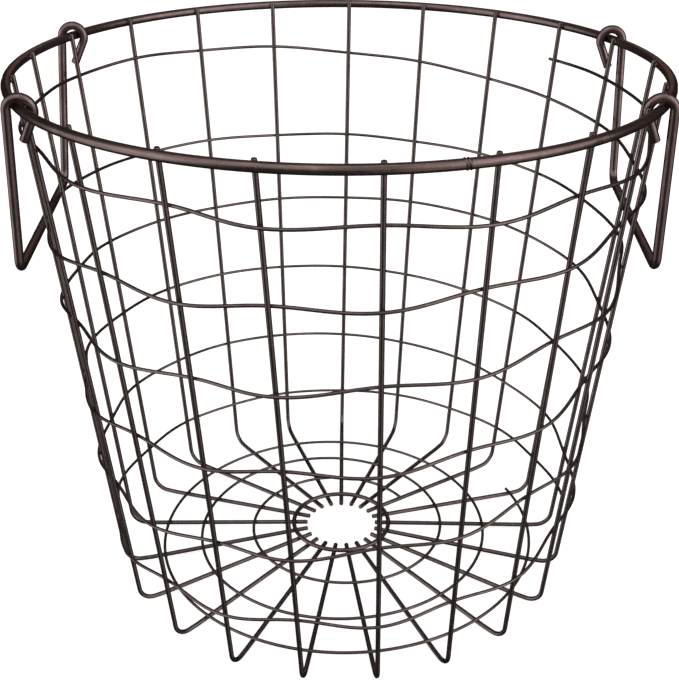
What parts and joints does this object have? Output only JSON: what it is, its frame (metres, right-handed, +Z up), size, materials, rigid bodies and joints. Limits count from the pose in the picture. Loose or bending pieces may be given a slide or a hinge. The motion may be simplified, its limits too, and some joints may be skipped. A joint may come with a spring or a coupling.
{
  "type": "egg collection basket",
  "caption": "Round tapered wire basket for collecting eggs, woven from thin coated wire on upright ribs, with two bail handles hooked on its rim",
  "frame": {"origin": "the centre of the rim's circle in plan, on the floor that the feet stand on", "axes": "+Z up along the rim's axis; -Y the front; one handle hangs at -X and one at +X"},
  "size_m": [0.3348, 0.3348, 0.3015],
  "materials": {
    "rim_wire": "dark bronze coating, satin",
    "rib_wire": "dark bronze coating, satin",
    "weaving_wire": "dark bronze coating, satin",
    "handle_wire": "dark bronze coating, satin"
  },
  "bodies": {
    "basket": {"rim": "rim_wire", "rib_01": "rib_wire", "rib_02": "rib_wire", "rib_03": "rib_wire", "rib_04": "rib_wire", "rib_05": "rib_wire", "rib_06": "rib_wire", "rib_07": "rib_wire", "rib_08": "rib_wire", "rib_09": "rib_wire", "rib_10": "rib_wire", "rib_11": "rib_wire", "rib_12": "rib_wire", "rib_13": "rib_wire", "rib_14": "rib_wire", "rib_15": "rib_wire", "rib_16": "rib_wire", "rib_17": "rib_wire", "rib_18": "rib_wire", "rib_19": "rib_wire", "rib_20": "rib_wire", "rib_21": "rib_wire", "wall_weaver": "weaving_wire", "base_spiral": "weaving_wire", "base_ring": "rib_wire"},
    "left_handle": {"handle_left": "handle_wire"},
    "right_handle": {"handle_right": "handle_wire"}
  },
  "joints": [
    {"name": "left_handle_swing", "type": "hinge", "parent": "basket", "child": "left_handle", "pos_m": [-0.14656, -0.00704, 0.29325], "axis": [-0.048, 0.9988, 0], "range_deg": [0, 300]},
    {"name": "right_handle_swing", "type": "hinge", "parent": "basket", "child": "right_handle", "pos_m": [0.14847, -0.0083, 0.29325], "axis": [-0.0558, -0.9984, 0], "range_deg": [0, 300]}
  ]
}
